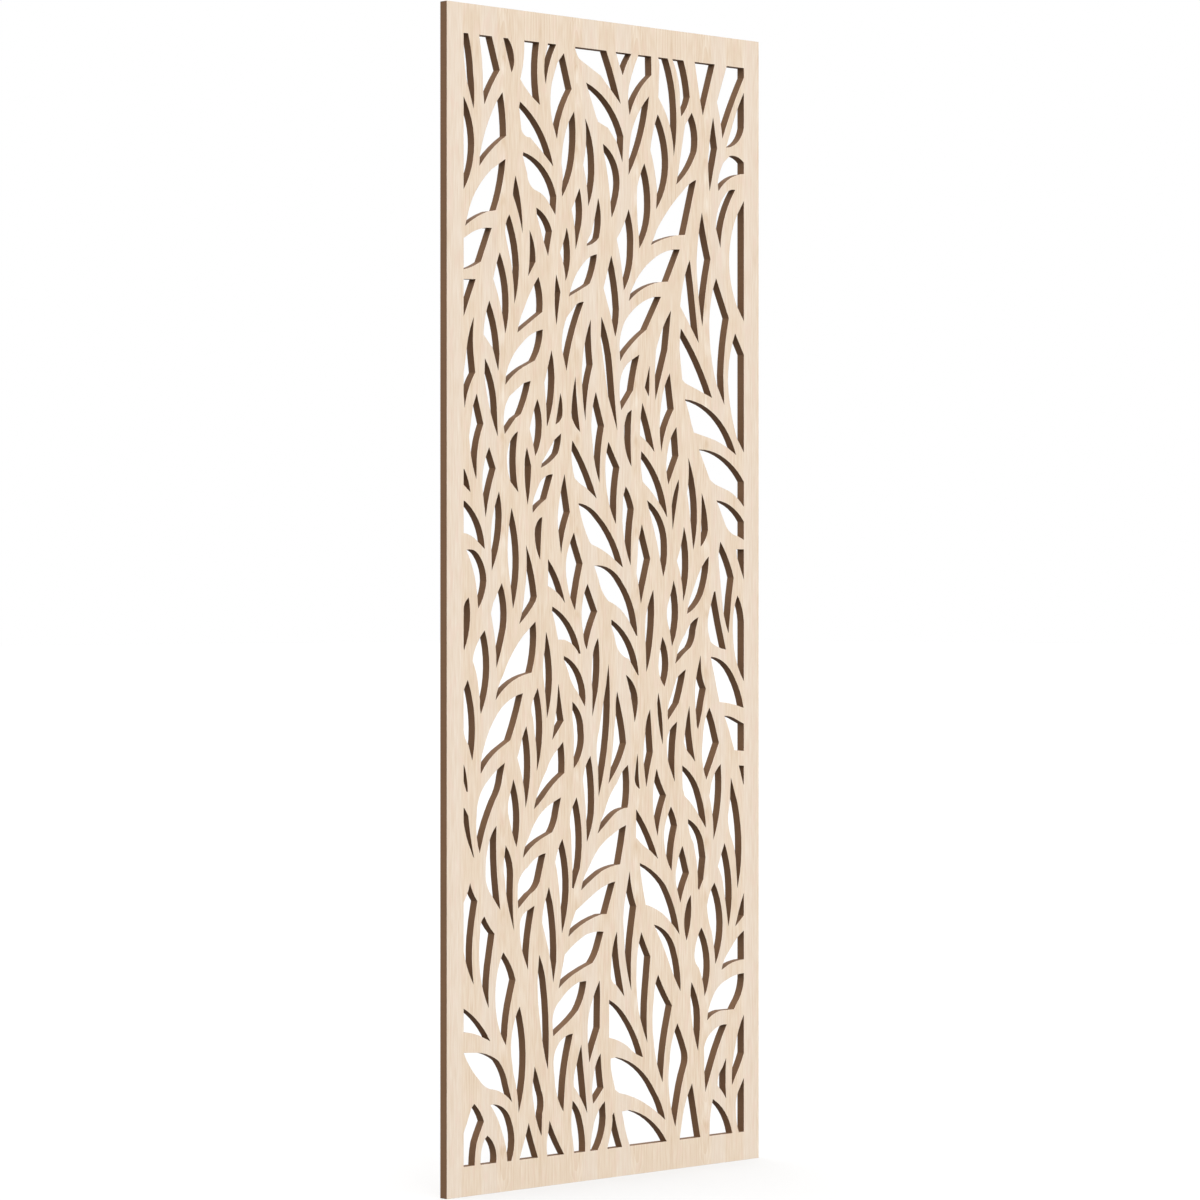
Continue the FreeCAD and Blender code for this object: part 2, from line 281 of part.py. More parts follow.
    ((57.7, 25.15, 58.4, 23.6), (60.05, 21.9), (59.1, 20, 58.35, 18), (58.3, 14.2, 56.5, 16.6),
     (55.9, 18), (55.4, 20.5, 55.7, 22), (56.5, 23.3)),
    ((60.55, 35.9), (60.8, 34.8, 60.95, 33.7), (61.35, 32.65, 59.9, 33.1), (59.6, 33.9), (60, 34.9)),
    ((60.05, 30.8, 64.3, 28.78), (68, 26.15), (65, 26.95, 61.5, 27.75), (60, 28.2)),
    ((61.35, 25.85, 66.5, 24.95), (70.6, 23.7, 73.8, 21.65), (75.9, 19, 73, 20.1),
     (69.5, 21.1, 66, 21.7), (63.5, 22), (62.5, 23.4), (61.7, 24.9)),
    ((67.5, 34.45, 68.4, 33.6), (70.95, 31.95), (69.6, 30.8, 68.8, 29.9), (67.85, 28.25, 66.5, 30.1),
     (66.1, 31.9, 66.6, 33.3)),
    ((72.7, 30.9, 73.6, 30.4), (75, 29.1, 74.1, 28), (73.4, 26.5), (72.95, 24.95, 71, 26.3),
     (70.3, 27.4, 70.3, 28.8), (71.4, 30)),
    ((77, 27.2), (78.3, 25.9), (79.4, 24.65, 77.8, 23.5), (76.2, 21.95), (75, 23.2, 74.45, 24.5),
     (74.9, 25.4, 75.9, 26.5)),
    ((76.9, 34.65, 81.3, 33.4), (83.8, 31.8, 85.2, 30.2), (85.7, 28.75), (83.1, 29.9, 80.5, 31),
     (77.8, 31.8), (77, 32.6)),
    ((79, 29.65, 82.6, 28.8), (85, 27.1), (85.55, 26), (84.7, 24), (83.1, 23),
     (82.7, 23.2, 82.6, 24.6), (82.1, 25.9), (81.05, 27.4, 79.2, 28.95)),
    ((91.25, 34.65), (91.5, 33.1, 90.9, 30.5), (88.5, 27.6, 88.1, 30), (86.95, 31.7),
     (87.6, 32.7, 88.8, 33.7)),
    ((92.7, 27.25, 95.35, 23.2), (94.15, 19.4), (93, 21.8), (92.3, 23.1, 91.7, 24), (90.15, 25.1),
     (91.2, 26)),
    ((95.1, 33.35), (97.6, 30.9, 99.05, 27.4), (98.6, 24.5), (97.6, 22.9), (97, 25.2, 96.5, 26.5),
     (95.5, 27.5, 94.1, 29), (93.95, 29.8, 94.7, 31.2), (94.9, 32.4)),
    ((98.1, 34.45), (100, 34.4), (100, 32.6), (99.7, 32.75)),
    # seventh eighth of the height from the top, left to right
    ((2.2, 25, 3.2, 24.1), (4.6, 23.35), (3.6, 21.6), (3, 20.1, 2.8, 18.3), (3.4, 16, 0.7, 18.05),
     (0, 19), (0, 23.3, 1.3, 24.1)),
    ((0, 13.95), (0.3, 13.9, 5, 12.65), (8.95, 10.85), (6.2, 11.3, 3.5, 11.65), (0, 11.85)),
    ((7, 21.95, 8.5, 21.1), (10.4, 20.35), (9.5, 18.6, 8.6, 16.6), (8.45, 13.8, 6.3, 15.7),
     (5.3, 17.8, 5.25, 19.4), (5.6, 20.7, 5.75, 21.3)),
    ((13.4, 18.65), (15.2, 17.85, 17, 16.7), (17.55, 16.1), (16.4, 14.7, 15.2, 12.9), (14.7, 11.2),
     (14.25, 10.35, 12.3, 11.6), (11.1, 13, 10.7, 15.2), (11.1, 16.4, 12.1, 17.7)),
    ((19, 13.7, 21.05, 9.2), (18.65, 4.2, 17.9, 6.4), (16.9, 7.7), (16.1, 9.4, 16.15, 10.9),
     (17, 12.2, 18, 13.1)),
    ((24.1, 22.6), (23.1, 21, 22.2, 19), (21.85, 16.9), (20.3, 18.2, 19.2, 19.7),
     (19.05, 20.9, 20, 21.8), (22, 22.25)),
    ((25.75, 18.15, 26.9, 17.2), (27.9, 15.9), (28.6, 14, 29.05, 10.8), (28.75, 7.8, 27.1, 9.9),
     (26.55, 10.9), (25.7, 12.9, 25.15, 15.3), (25.3, 16.7)),
    ((29.1, 24.2), (30.4, 22.7, 31.5, 20), (31.65, 17.4), (30.6, 15.55, 29.5, 17.8), (28.2, 19.4),
     (26.75, 21, 27.2, 22.3), (28.2, 23.3)),
    ((42.2, 15.45, 41, 13.9), (39.2, 12.85, 36, 11.95), (33.3, 11.35), (30.6, 10.75),
     (30.35, 11.8, 30.9, 13), (33, 13.9, 35.2, 14.6), (39.4, 15.4)),
    ((48.3, 19.8), (47.2, 18.75, 45.9, 17.75), (44.4, 17.05), (41.5, 16.7), (38, 16.2, 35.3, 15.7),
     (32.5, 15), (33.1, 15.9), (34, 17.1), (34.6, 18, 38.3, 18.95), (42, 19.65, 45.4, 19.85)),
    ((52.5, 24.3), (51.2, 23.1), (49.4, 21.4), (47.5, 21.4, 42.6, 20.9), (35.9, 19.6, 36.5, 20.4),
     (37.7, 21.3), (38.5, 21.9), (44.4, 23.2, 49, 24)),
    ((46.95, 15.4), (47.1, 14), (46.95, 11.1), (45.2, 9.7), (43.25, 8.05, 42.75, 9.7),
     (42.65, 11.2, 43.1, 12.4), (44.3, 13.6, 45.2, 14.3)),
    ((50.3, 13.55, 53, 13), (56.5, 11.82, 60, 10.05), (62.5, 8, 59.6, 8.45), (57, 9.15, 54, 9.7),
     (50.3, 10.1), (50.35, 12.3)),
    ((53.15, 19.75, 53.35, 18.3), (54.6, 15.6), (55.75, 13.75), (52.9, 14.85, 51.3, 15.3), (50.9, 16),
     (51.3, 17.6, 51.8, 18.5)),
    ((61.9, 19.5), (63.4, 18.4), (65.2, 17.2), (64.8, 15.9), (64.2, 14, 63.85, 12),
     (64.1, 9.3, 62, 11.1), (60.9, 12.3, 60.3, 13.9), (60.15, 16, 60.6, 17.8)),
    ((68.05, 15.45, 70.2, 14.05), (73.1, 12.5), (71.5, 10.3, 70.3, 8), (69.7, 5.5, 67.5, 7.4),
     (66.4, 9.4, 65.95, 11.3), (66.5, 13.4, 67.1, 14.7)),
    ((66.5, 20.1, 71.2, 19.3), (74.7, 17.4, 76, 15.6), (76.25, 13.75, 73.8, 15.2), (71.5, 16.9),
     (69.5, 18.3), (67.2, 19.7)),
    ((80.1, 22.6), (80.25, 21.4, 79.9, 20), (78.5, 18.4, 77.6, 20.2), (78.2, 21.4, 79.2, 22.2)),
    ((80.3, 14.5, 81.9, 13.5), (83.3, 12, 83.5, 11), (83.2, 9.3), (82.75, 8.05, 80.9, 10.2),
     (80.2, 11.5, 79.9, 12.9)),
    ((84, 19.5, 87.15, 15.9), (85.2, 13.05, 84.2, 14.8), (83, 15.8, 81.6, 16.5),
     (81.6, 17.4, 82.3, 18.4)),
    ((88.9, 23.6, 91.97, 19.8), (89.25, 16, 88.7, 17.6), (87.8, 19.1, 86.3, 20.8),
     (86.1, 21.5, 86.8, 22.4)),
    ((100, 14.9), (100, 14.4, 98.8, 12.9), (97.2, 12.1), (96.2, 11.6), (91.5, 11.6, 89, 11.4),
     (86.2, 10.8, 86.6, 11.7), (88.1, 12.85, 90.6, 13.9), (93, 14.35, 97, 14.8)),
    ((100, 18.9), (100, 16.2, 97, 16.1), (94, 15.8), (91.6, 15.4, 92.2, 16.05), (93.6, 16.8),
     (95.4, 17.5, 97.2, 18.2)),
    ((100, 22.45), (100, 20.35), (98.4, 19.85), (96.7, 19.35), (97.4, 20.1, 98.7, 21.4)),
    # eighth eighth of the height from the top, left to right
    ((0, 10.05), (4.5, 9.95, 8.6, 9.62), (11.7, 9.05, 13.3, 8.3), (15, 6.8), (16.45, 5.2, 13.8, 6),
     (10.5, 6.5, 7.6, 6.8), (5.3, 7.5, 1.6, 9.05)),
    ((3.6, 5.45, 5.2, 4.85), (6.85, 3.8), (5.4, 2.8), (4.4, 2, 3.9, 1), (3.7, 0), (0, 0), (0, 3),
     (1.2, 3.9), (2.6, 5.1)),
    ((8.05, 2.5, 10.3, 1.6), (10.95, 0), (5.7, 0, 5.8, 0.9), (6.4, 1.7, 7.2, 2.25)),
    ((9, 5.2, 13, 4.9), (16.2, 3.5, 17.2, 1.85), (16.1, 0), (14.8, 0, 14.5, 0.9), (13.7, 2),
     (12.4, 3.2, 10.8, 4.3)),
    ((22.1, 3.2), (23.6, 1.6), (25.3, 0), (18.9, 0), (20, 1.1), (21.1, 2.1)),
    ((24.15, 8.2, 25.2, 7.3), (26.4, 6, 27.15, 5.15), (26.75, 3.9), (26.55, 1.9, 25, 3.1),
     (23.9, 4.7, 23.4, 5.7), (23.55, 6.9)),
    ((29.3, 3.2, 31.2, 1.85), (34.4, 0), (28.55, 0, 28.6, 1.8), (28.95, 2.3)),
    ((37.45, 10.8), (36.2, 9.2, 35.1, 7.4), (34.5, 5.5), (34.15, 3.85, 32.2, 5.1), (31.3, 6.2),
     (30.7, 8, 31.1, 9.2), (32.8, 10.15, 34.8, 10.6)),
    ((37.4, 4.75, 39, 4.15), (40.7, 2.9, 41.6, 1.5), (41.8, 0), (37.9, 0), (37.5, 1.1, 36.9, 2.7),
     (37.1, 3.8)),
    ((40.45, 9.75), (41, 7.9), (41.8, 5.8), (42.55, 3.45, 39.6, 5.2), (37.8, 6, 37.75, 6.7),
     (38.7, 7.9), (39.5, 8.8)),
    ((48.8, 4.35), (49.1, 2.9, 48.35, 1.45), (46.2, 0), (43.6, 0, 43.9, 1), (44.8, 2.3, 46.4, 3.5)),
    ((47.3, 8.75, 47.6, 7.3), (48.3, 5.6), (46.5, 4.9), (44.65, 4.25, 44.25, 5.4), (44.4, 6.2),
     (45.1, 7.2, 46, 8.1)),
    ((52.05, 3.25, 52.9, 2.1), (55, 0), (49.7, 0), (50.4, 0.9, 51.1, 1.6), (51.5, 3)),
    ((50.9, 8.2), (53, 8.25, 62, 6.75), (67, 4.7, 69, 3.6), (70.65, 2, 67.6, 2.8),
     (64.5, 3.5, 60, 4.3), (54, 4.95), (52.5, 5.3), (51.7, 6.3, 50.9, 7.5)),
    ((54.9, 3.25), (57.5, 3.3, 65, 2.2), (71.2, 0), (57.8, 0, 56.5, 1.1), (55.6, 2.3)),
    ((75.1, 10.8, 77.2, 9.35), (78.5, 8.2, 78.85, 7.5), (78.4, 6.75, 77.3, 5.75), (76.1, 4.2),
     (75.1, 2.6), (74.35, 1.25, 72.8, 3), (72.1, 4.3, 71.8, 5.7), (72.3, 7.5, 73.1, 9.2),
     (74.1, 10.1)),
    ((80.55, 5.1), (82, 2.7), (83.6, 0), (75.9, 0), (76.7, 1.5, 78.8, 3.95)),
    ((93.55, 10.25, 91.7, 9.15), (88.5, 6.75), (85.5, 4.15), (85.1, 6), (85, 8.3, 86.2, 9.15),
     (88.2, 9.75, 90.5, 10.15)),
    ((88.35, 3.4), (90.5, 2.9, 94, 1.45), (95.6, 0), (87, 0), (87.2, 1.5, 87.9, 2.9)),
    ((93.3, 7.1, 93.05, 5.2), (93.3, 3.3, 91, 4.3), (90.05, 4.6, 90.2, 5.25), (91.8, 6.2)),
    ((100, 11), (100, 7.4, 98.5, 6.3), (96.8, 5.3), (95.5, 4.5, 95.6, 6.2), (96.5, 7.8),
     (97.3, 8.9, 98.6, 10.1)),
    ((100, 5.05), (100, 0), (98.1, 0, 97.3, 0.9), (97, 2, 97.1, 3.1), (97.8, 3.8)),
)

sizes = (
    ("panel_width", 441.325),
    ("panel_height", 1177.925),
    ("panel_thickness", 9.525),
    ("veneer_thickness", 0.6),
    ("side_border", 22.3),
    ("end_border", 29.6),
    ("first_seam_from_left", 32.9),
    ("leaf_width", 92.9),
)

# The outer leaves are trimmed at the edges of the panel, the ones between are full.
full_leaf_count = 4

half = 0.5
whole_percent = 100
straight_corner_length = 2
first_row = 1
first_leaf = 1

# Sizes that follow from the ones above, worked out in the sheet.
derived_sizes = (
    ("panel_left", f"=-panel_width * {half}"),
    ("panel_back", f"=panel_thickness * {half}"),
    ("core_back", "=panel_back - veneer_thickness"),
    ("core_thickness", "=core_back + core_back"),
    ("front_leaf_back", "=-core_back"),
)

os.makedirs("parts", exist_ok=True)
doc = FreeCAD.newDocument("fretwork_panel")

sheet = doc.addObject("Spreadsheet::Sheet", "Sizes")
for row, (alias, value) in enumerate(sizes + derived_sizes, start=first_row):
    sheet.set(f"A{row}", alias)
    sheet.set(f"B{row}", str(value))
    sheet.setAlias(f"B{row}", alias)
doc.recompute()

panel_width = sheet.panel_width
panel_height = sheet.panel_height
field_left = sheet.side_border
field_bottom = sheet.end_border
field_width = panel_width - sheet.side_border - sheet.side_border
field_height = panel_height - sheet.end_border - sheet.end_border


def field_point(across_share, up_share, body_left):
    """Place one outline point in the sketch of the body that starts at body_left."""
    x = field_left + field_width * across_share / whole_percent - body_left
    z = field_bottom + field_height * up_share / whole_percent
    return FreeCAD.Vector(x, z, 0)


def opening_sides(outline, body_left):
    """Return the straight and round sides of one opening, in order."""
    sides = []
    following = outline[1:] + outline[:1]
    for corner, after in zip(outline, following):
        across, up, *via = corner
        start = field_point(across, up, body_left)
        after_across, after_up, *_ = after
        end = field_point(after_across, after_up, body_left)
        if len(corner) == straight_corner_length:
            sides.append(Part.LineSegment(start, end))
        else:
            sides.append(Part.Arc(start, field_point(*via, body_left), end))
    return sides


def reaches(sides, body_width):
    """Tell whether an opening reaches into the strip of one body."""
    boxes = [side.toShape().BoundBox for side in sides]
    return min(box.XMin for box in boxes) < body_width and max(box.XMax for box in boxes) > 0


def sketch_on_front(body, name):
    """Add a sketch on the upright plane of the body, X across and Z up."""
    sketch = body.newObject("Sketcher::SketchObject", name)
    plane = next(feature for feature in body.Origin.OriginFeatures if feature.Role == "XZ_Plane")
    sketch.AttachmentSupport = [(plane, "")]
    sketch.MapMode = "FlatFace"
    return sketch


def add_rectangle(sketch, width_rule, height_rule):
    """Draw the outline of the blank from the origin corner, sized by the sheet."""
    corners = [
        FreeCAD.Vector(0, 0, 0),
        FreeCAD.Vector(panel_width, 0, 0),
        FreeCAD.Vector(panel_width, panel_height, 0),
        FreeCAD.Vector(0, panel_height, 0),
    ]
    bottom, right, top, left = (
        sketch.addGeometry(Part.LineSegment(a, b), False)
        for a, b in zip(corners, corners[1:] + corners[:1])
    )
    start_point = 1
    end_point = 2
    origin = -1
    for first, second in ((bottom, right), (right, top), (top, left), (left, bottom)):
        sketch.addConstraint(Sketcher.Constraint("Coincident", first, end_point, second, start_point))
    for side in (bottom, top):
        sketch.addConstraint(Sketcher.Constraint("Horizontal", side))
    for side in (right, left):
        sketch.addConstraint(Sketcher.Constraint("Vertical", side))
    sketch.addConstraint(Sketcher.Constraint("Coincident", bottom, start_point, origin, start_point))
    across = sketch.addConstraint(
        Sketcher.Constraint("DistanceX", bottom, start_point, bottom, end_point, panel_width)
    )
    up = sketch.addConstraint(
        Sketcher.Constraint("DistanceY", right, start_point, right, end_point, panel_height)
    )
    sketch.setExpression(f"Constraints[{across}]", width_rule)
    sketch.setExpression(f"Constraints[{up}]", height_rule)


def make_sheet_part(label, left_rule, back_rule, width_rule, thickness_rule):
    """Build one flat piece: a padded blank, then every opening pocketed through it."""
    body = doc.addObject("PartDesign::Body", label)
    body.Label = label
    body.AllowCompound = True
    body.setExpression("Placement.Base.x", left_rule)
    body.setExpression("Placement.Base.y", back_rule)

    blank_sketch = sketch_on_front(body, f"{label}_blank_sketch")
    add_rectangle(blank_sketch, width_rule, "Sizes.panel_height")
    blank = body.newObject("PartDesign::Pad", f"{label}_blank")
    blank.Profile = blank_sketch
    blank.setExpression("Length", thickness_rule)
    doc.recompute()
    blank_volume = body.Shape.Volume

    body_left = body.Placement.Base.x - sheet.panel_left
    body_width = body.Shape.BoundBox.XLength
    opening_sketch = sketch_on_front(body, f"{label}_opening_sketch")
    cut_sides = []
    for outline in opening_percent_shares:
        sides = opening_sides(outline, body_left)
        if reaches(sides, body_width):
            cut_sides.extend(sides)
    opening_sketch.addGeometry(cut_sides, False)
    openings = body.newObject("PartDesign::Pocket", f"{label}_openings")
    openings.Profile = opening_sketch
    openings.Type = "ThroughAll"
    openings.Reversed = True
    body.Tip = openings
    doc.recompute()
    if not body.Shape.Volume < blank_volume:
        raise RuntimeError(f"the openings did not cut {label}")
    return body


pieces = [
    make_sheet_part(
        "core_board", "Sizes.panel_left", "Sizes.core_back", "Sizes.panel_width", "Sizes.core_thickness"
    )
]

# Each leaf starts at the seam before it, counted from the left edge of the panel.
seam_rule = "Sizes.first_seam_from_left"
leaf_rules = [("Sizes.panel_left", seam_rule)]
for _ in range(full_leaf_count):
    leaf_rules.append((f"{seam_rule} + Sizes.panel_left", "Sizes.leaf_width"))
    seam_rule = f"{seam_rule} + Sizes.leaf_width"
leaf_rules.append((f"{seam_rule} + Sizes.panel_left", f"Sizes.panel_width - ({seam_rule})"))

for face, back_rule in (("front", "Sizes.front_leaf_back"), ("back", "Sizes.panel_back")):
    for number, (left_rule, width_rule) in enumerate(leaf_rules, start=first_leaf):
        label = f"{face}_veneer_leaf_{number}"
        pieces.append(make_sheet_part(label, left_rule, back_rule, width_rule, "Sizes.veneer_thickness"))

doc.recompute()
for item in doc.Objects:
    if "Invalid" in item.State or "Error" in item.State:
        raise RuntimeError(f"{item.Label} is not valid")
for piece in pieces:
    if piece.Shape.isNull() or not piece.Shape.isValid():
        raise RuntimeError(f"the shape of {piece.Label} is not valid")
    piece.Shape.exportStep(f"parts/{piece.Label}.step")
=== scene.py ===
"""The finish, light and camera for a veneered fretwork panel.

The panel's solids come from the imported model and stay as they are. This script gives the
veneer its book-matched figure and the board its brown cut edge, stands the panel on a
pale studio floor, and sets the camera up from where the panel's left front edge stands in
the photograph. Lengths in the patterns are in millimetres, and everything placed in the
scene is in metres.
"""

import math

import bmesh
import bpy
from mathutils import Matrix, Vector


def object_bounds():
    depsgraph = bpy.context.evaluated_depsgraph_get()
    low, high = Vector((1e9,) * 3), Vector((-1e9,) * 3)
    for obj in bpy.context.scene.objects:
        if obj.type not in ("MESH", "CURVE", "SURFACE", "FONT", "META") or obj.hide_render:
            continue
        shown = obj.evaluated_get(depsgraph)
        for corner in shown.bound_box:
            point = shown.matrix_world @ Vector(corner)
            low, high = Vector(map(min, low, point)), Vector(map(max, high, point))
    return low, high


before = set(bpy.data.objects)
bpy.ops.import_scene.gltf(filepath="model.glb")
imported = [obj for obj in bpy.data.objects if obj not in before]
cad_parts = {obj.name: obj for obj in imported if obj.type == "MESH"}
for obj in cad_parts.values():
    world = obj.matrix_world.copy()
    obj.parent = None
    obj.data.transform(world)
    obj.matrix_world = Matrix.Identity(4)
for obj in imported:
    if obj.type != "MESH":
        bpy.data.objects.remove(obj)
cad_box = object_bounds()

mm_per_metre = 1000

# The veneer is laid as leaves of one width, each the mirror of its neighbour. Every second
# seam is a mirror line of the first kind, and the figure is measured from it.
leaf_width = 92.9
first_seam_from_left = 32.9

# The soft bands down each leaf: how far each runs from the mirror line, its half width,
# and how much lighter or darker than the wood it is.
leaf_bands = (
    (0.0, 7.0, -0.05),
    (18.0, 4.0, 0.075),
    (21.0, 9.0, 0.04),
    (52.0, 8.0, -0.065),
    (72.0, 6.0, 0.045),
    (leaf_width, 11.0, -0.065),
)

# The cool streak in each leaf: where it starts and is full, and where it fades and ends.
cool_start = 10.0
cool_full = 17.0
cool_fade = 33.5
cool_end = 35.5

# The heart of the figure runs down near the middle of each leaf. Its marks come again at
# each repeat, counted from the first pale one below the panel's top.
heart_from_seam = 42.0
heart_half_width = 4.0
heart_repeat = 236.1
first_mark_from_top = 60.0

# The pale and dark marks along the heart: where each stands in millimetres from the start
# of the repeat, half its height, and how much lighter or darker than the wood it is.
heart_marks = (
    (0.0, 8.0, 0.26),
    (27.0, 8.0, 0.22),
    (46.0, 8.0, -0.16),
    (72.0, 4.5, -0.25),
    (90.0, 7.0, 0.26),
    (116.0, 8.0, 0.22),
    (131.0, 5.0, -0.24),
    (154.0, 8.0, -0.1),
    (176.0, 13.0, 0.16),
    (205.0, 7.0, -0.1),
    (222.0, 5.0, -0.25),
)

# The growth rings round the heart: how many there are in a millimetre across and along the
# leaf, how far from the heart they reach, and where they grow clear, from the panel's middle.
rings_across = 0.24
rings_along = 0.06
rings_half_width = 10.0
rings_grow = 480.0
rings_clear = 570.0

# The grain of the veneer and of the board's cut edge, each in layers of noise: the size of
# a grain across, through and along the panel, how finely it breaks up, a shift that keeps
# the layers apart, and how strongly it shows.
veneer_grain = {
    "clouds": ((18.0, 40.0, 90.0), 2.0, 0.0, 0.16),
    "streaks": ((2.2, 40.0, 240.0), 2.0, 11.0, 0.2),
    "strands": ((0.8, 20.0, 70.0), 2.0, 23.0, 0.5),
    "dashes": ((1.8, 6.0, 26.0), 1.0, 83.0, 0.9),
    "fibres": ((0.22, 5.0, 7.0), 2.0, 31.0, 0.2),
}
edge_grain = {
    "specks": ((0.5, 0.35, 0.5), 3.0, 0.0, 0.5),
    "cutter_marks": ((0.7, 30.0, 0.7), 1.0, 7.0, 0.35),
    "drift": ((60.0, 60.0, 90.0), 2.0, 3.0, 0.5),
}
middle_tone = 0.5

# Noise that is used by itself, with its sizes, break-up and shift as above: the wander of the
# heart, the lean of its marks, the dark flecks, and the pink blush.
heart_wander_noise = ((30.0, 40.0, 22.0), 2.0, 53.0)
mark_lean_noise = ((200.0, 40.0, 50.0), 1.0, 67.0)
fleck_noise = ((0.3, 5.0, 2.4), 1.0, 41.0)
blush_noise = ((10.0, 40.0, 26.0), 2.0, 61.0)

# The lamps: where each stands, in degrees to the right of straight in front and in degrees
# up from the floor, its strength, and how wide it looks in degrees.
lamps = {
    "overhead_softbox": (0.0, 90.0, 1.25, 130.0),
    "key_lamp": (-35.0, 30.0, 0.52, 20.0),
    "fill_lamp": (155.0, 30.0, 0.4, 30.0),
}

# The camera, from the panel's left front edge in the photograph.
photo_side_px = 1200
focal_length_px = 4194
left_edge_px = 446.76
left_edge_top_px = 0.54
left_edge_bottom_px = 1199.20
view_turn = math.radians(43.9)
sensor_width = 36.0


def colour(red, green, blue):
    """Turns a colour read as 0 to 255 into the linear colour that a shader takes."""
    def linear(level):
        level /= 255
        if level <= 0.04045:
            return level / 12.92
        return ((level + 0.055) / 1.055) ** 2.4
    return (linear(red), linear(green), linear(blue), 1.0)


def grey(level):
    """A grey of one linear level."""
    return (level, level, level, 1.0)


deep_wood = colour(223, 195, 162)
pale_wood = colour(252, 239, 223)
cool_wood = colour(235, 221, 208)
pink_wood = colour(241, 211, 194)
seam_brown = colour(196, 164, 132)
corner_of_veneer = colour(178, 143, 110)
dark_fibre = colour(100, 73, 52)
light_fibre = colour(133, 102, 76)
corner_of_board = colour(74, 52, 37)


class Value:
    """A socket that can stand in a sum: each operator adds one Math node."""

    def __init__(self, tree, socket):
        self.tree = tree
        self.socket = socket

    def maths(self, operation, *others):
        return self.tree.node("ShaderNodeMath", {"operation": operation}, [self, *others])

    def reflected(self, operation, first):
        return self.tree.node("ShaderNodeMath", {"operation": operation}, [first, self])

    def __add__(self, other):
        return self.maths("ADD", other)

    def __radd__(self, other):
        return self.reflected("ADD", other)

    def __sub__(self, other):
        return self.maths("SUBTRACT", other)

    def __rsub__(self, other):
        return self.reflected("SUBTRACT", other)

    def __mul__(self, other):
        return self.maths("MULTIPLY", other)

    def __rmul__(self, other):
        return self.reflected("MULTIPLY", other)

    def __truediv__(self, other):
        return self.maths("DIVIDE", other)

    def __abs__(self):
        return self.maths("ABSOLUTE")


class Tree:
    """The nodes of one material or of the world, made from nothing."""

    def __init__(self, blender_tree):
        self.nodes = blender_tree.nodes
        self.links = blender_tree.links
        self.nodes.clear()

    def node(self, kind, settings=None, inputs=None, take=0):
        """Adds one node: first its settings, then its sockets, by place or by name.

        It gives back the output that take names, one for each name in a list of them, or
        nothing where take is None.
        """
        made = self.nodes.new(kind)
        for name, setting in (settings or {}).items():
            setattr(made, name, setting)
        if isinstance(inputs, list):
            inputs = dict(enumerate(inputs))
        for key, value in (inputs or {}).items():
            if isinstance(value, Value):
                self.links.new(value.socket, made.inputs[key])
            else:
                made.inputs[key].default_value = value
        if take is None:
            return None
        if isinstance(take, list):
            return [Value(self, made.outputs[name]) for name in take]
        return Value(self, made.outputs[take])


def new_material(name):
    """An empty material and its tree."""
    material = bpy.data.materials.new(name)
    material.use_nodes = True
    return material, Tree(material.node_tree)


def mixed(tree, share, first, second):
    """Goes from the first colour to the second as share goes from 0 to 1."""
    settings = {"data_type": "RGBA", "clamp_factor": True}
    factor_socket, first_socket, second_socket, colour_output = 0, 6, 7, 2
    inputs = {factor_socket: share, first_socket: first, second_socket: second}
    return tree.node("ShaderNodeMix", settings, inputs, colour_output)


def between(tree, value, low, high):
    """Rises smoothly from 0 at low to 1 at high."""
    settings = {"interpolation_type": "SMOOTHSTEP"}
    inputs = {"Value": value, "From Min": low, "From Max": high}
    return tree.node("ShaderNodeMapRange", settings, inputs)


def swell(value, middle, half_width):
    """A soft hill, 1 high at the middle."""
    offset = (value - middle) / half_width
    return (offset * offset * -1).maths("EXPONENT")


def stretched_noise(tree, place, sizes, detail, shift):
    """Cloudy noise about 0, in grains of the three given sizes."""
    average, strength_of_detail = 0.5, 0.55
    grain = tuple(1 / size for size in sizes)
    inputs = {"Vector": place, "Location": (shift, shift, shift), "Scale": grain}
    grained = tree.node("ShaderNodeMapping", {"vector_type": "POINT"}, inputs)
    inputs = {
        "Vector": grained,
        "Scale": 1.0,
        "Detail": detail,
        "Roughness": strength_of_detail,
    }
    return tree.node("ShaderNodeTexNoise", {}, inputs) - average


def layered(tree, place, layers):
    """The sum of some layers of noise at their strengths, and each layer by its name."""
    total = 0.0
    noises = {}
    for name, (sizes, detail, shift, strength) in layers.items():
        noises[name] = stretched_noise(tree, place, sizes, detail, shift)
        total = total + strength * noises[name]
    return total, noises


def panel_place(tree):
    """The place on the panel in millimetres, from its lower left corner."""
    on_object = tree.node("ShaderNodeTexCoord", take="Object")
    corner = tuple(-edge * mm_per_metre for edge in cad_box[0])
    scale = (mm_per_metre, mm_per_metre, mm_per_metre)
    inputs = {"Vector": on_object, "Location": corner, "Scale": scale}
    return tree.node("ShaderNodeMapping", {"vector_type": "POINT"}, inputs)


def split(tree, vector):
    """The three parts of a vector: across, through and along the panel."""
    return tree.node("ShaderNodeSeparateXYZ", {}, [vector], ["X", "Y", "Z"])


def surface_direction(tree):
    """The way a flat surface looks, before any corner is rounded."""
    return tree.node("ShaderNodeNewGeometry", take="True Normal")


def arris(tree, radius):
    """The normal rounded at the corners, and how near a corner is, from 0 to 1."""
    at_corner, off_corner = 0.75, 0.99
    inputs = {"Radius": radius / mm_per_metre}
    rounded = tree.node("ShaderNodeBevel", {"samples": 4}, inputs)
    directions = [rounded, surface_direction(tree)]
    settings = {"operation": "DOT_PRODUCT"}
    alike = tree.node("ShaderNodeVectorMath", settings, directions, "Value")
    return rounded, 1 - between(tree, alike, at_corner, off_corner)


